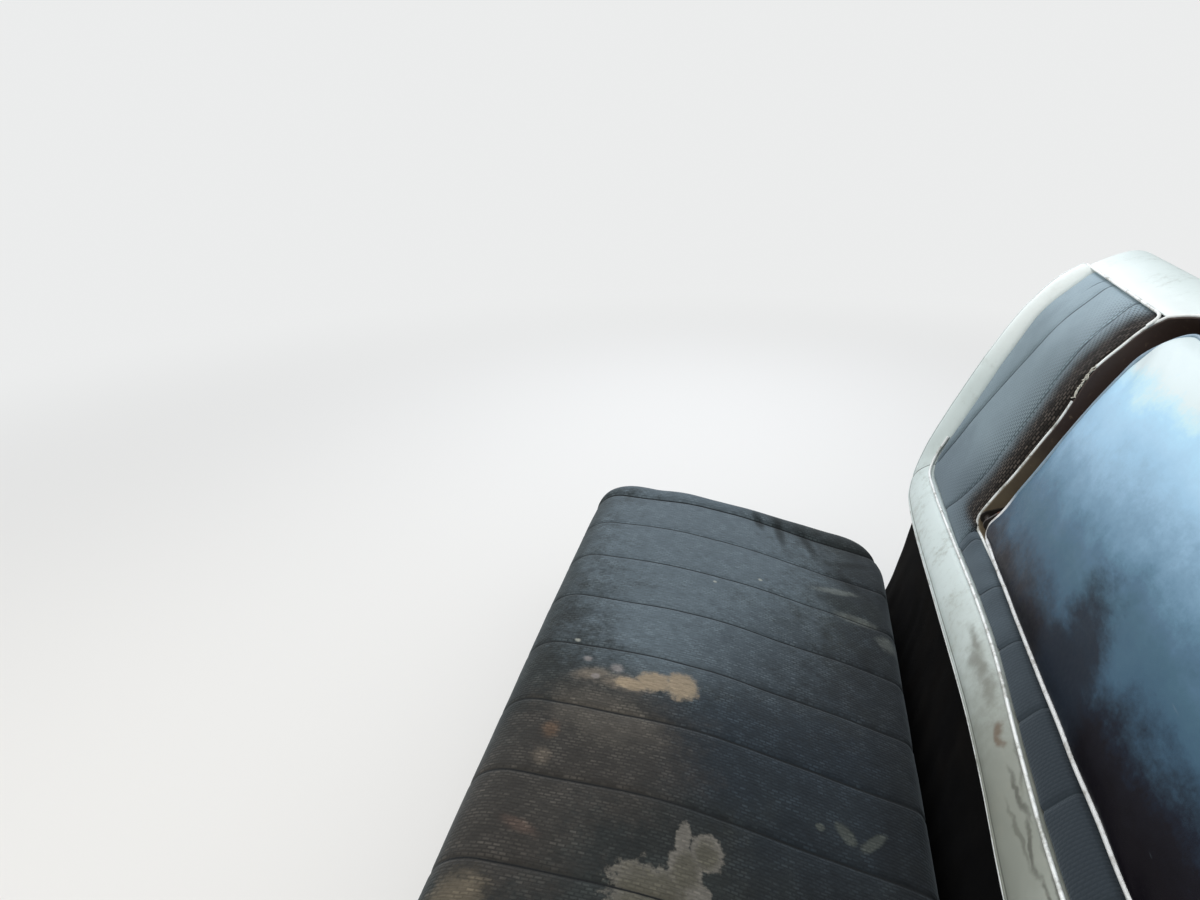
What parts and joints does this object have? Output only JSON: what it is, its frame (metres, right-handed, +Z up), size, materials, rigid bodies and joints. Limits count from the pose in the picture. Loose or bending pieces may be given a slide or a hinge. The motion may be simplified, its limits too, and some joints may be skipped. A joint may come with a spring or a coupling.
{
  "type": "rear bench seat",
  "caption": "Rear bench seat of a classic car: sprung cushion, leaning backrest and a wide centre armrest that folds down out of its recess.",
  "frame": {"origin": "on the seat pan, midway between the two floor bolts of the backrest", "axes": "+X across the car to its left, -Y the way the seat faces, +Z up"},
  "size_m": [1.4344, 0.8971, 0.7114],
  "materials": {
    "seat_cloth": "basket weave, worn and stained",
    "back_cloth": "basket weave, dusty",
    "white_vinyl": "coated cloth, soiled",
    "black_vinyl": "coated cloth, dull shine",
    "black_cloth": "plain weave",
    "tan_lining": "coated board, dirty",
    "hessian": "coarse open weave",
    "board": "pressed fibre board",
    "frame_paint": "black paint, rusted at edges",
    "spring_steel": "oiled wire, light rust",
    "hinge_steel": "plated, dull"
  },
  "bodies": {
    "seat": {"back_apron": "board", "back_border_foot": "white_vinyl", "back_border_left": "white_vinyl", "back_border_right": "white_vinyl", "back_bottom_rail": "frame_paint", "back_foot_left": "frame_paint", "back_foot_right": "frame_paint", "back_hanger_left": "frame_paint", "back_hanger_right": "frame_paint", "back_hessian_left": "hessian", "back_hessian_right": "hessian", "back_pad_foot": "back_cloth", "back_pad_left": "back_cloth", "back_pad_right": "back_cloth", "back_post_left": "frame_paint", "back_post_right": "frame_paint", "back_side_rail_left": "frame_paint", "back_side_rail_right": "frame_paint", "back_skirt": "black_cloth", "back_springs_left": "spring_steel", "back_springs_right": "spring_steel", "back_top_rail": "frame_paint", "back_top_roll": "white_vinyl", "cushion_cross_rails": "frame_paint", "cushion_facing_front": "black_vinyl", "cushion_facing_left": "black_vinyl", "cushion_facing_rear": "black_vinyl", "cushion_facing_right": "black_vinyl", "cushion_hessian": "hessian", "cushion_pad": "seat_cloth", "cushion_rail_front": "frame_paint", "cushion_rail_left": "frame_paint", "cushion_rail_rear": "frame_paint", "cushion_rail_right": "frame_paint", "cushion_springs": "spring_steel", "floor_plate_left": "frame_paint", "floor_plate_right": "frame_paint", "hinge_bracket_left": "hinge_steel", "hinge_bracket_right": "hinge_steel", "recess_board": "board", "recess_lining": "tan_lining", "skirt_wire": "spring_steel"},
    "armrest": {"armrest_hinge_left": "hinge_steel", "armrest_hinge_right": "hinge_steel", "armrest_pad": "black_vinyl"}
  },
  "joints": [
    {"name": "armrest_hinge", "type": "hinge", "parent": "seat", "child": "armrest", "pos_m": [0, 0.00411, 0.37387], "axis": [1, 0, 0], "range_deg": [0, 112]}
  ]
}
